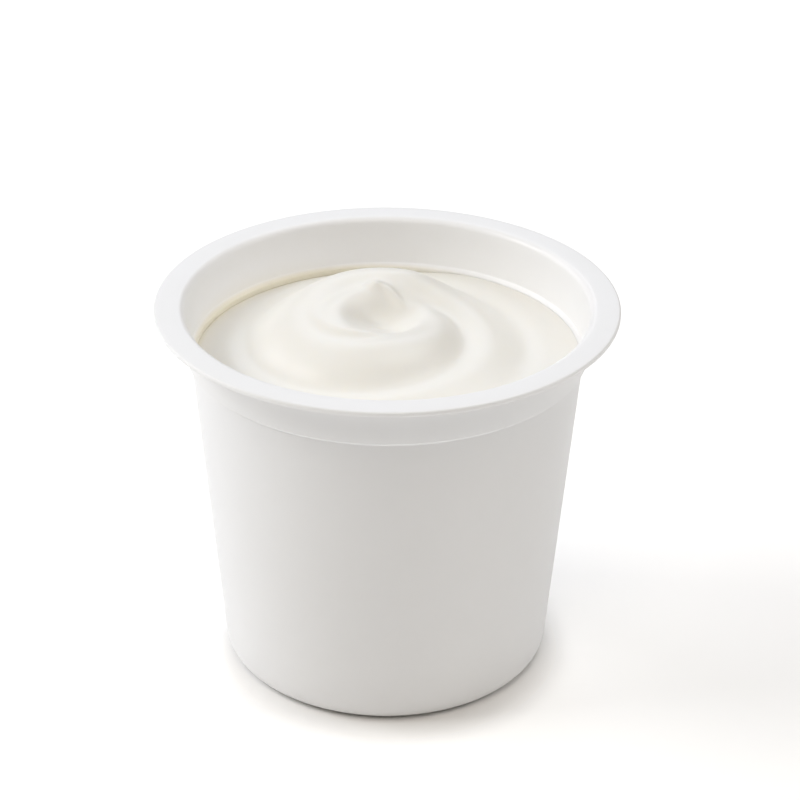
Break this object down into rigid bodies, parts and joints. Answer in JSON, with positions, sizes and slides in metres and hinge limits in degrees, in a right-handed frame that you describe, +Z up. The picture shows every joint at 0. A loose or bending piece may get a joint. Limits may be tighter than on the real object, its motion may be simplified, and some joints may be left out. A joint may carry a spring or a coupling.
{
  "type": "yogurt pot",
  "caption": "Open tapered pot with a flat flange and a stacking step, filled with plain yogurt stirred into a swirl.",
  "frame": {"origin": "middle of the foot ring, on the surface the pot stands on", "axes": "+Z up along the pot's axis, out of its mouth; -Y towards the viewer, +X to the viewer's right"},
  "size_m": [0.095, 0.095, 0.08],
  "materials": {
    "pot_plastic": "white formed sheet, satin",
    "yogurt": "thick set yogurt, soft wet sheen"
  },
  "bodies": {
    "root": {"pot": "pot_plastic", "yogurt": "yogurt"}
  },
  "joints": []
}
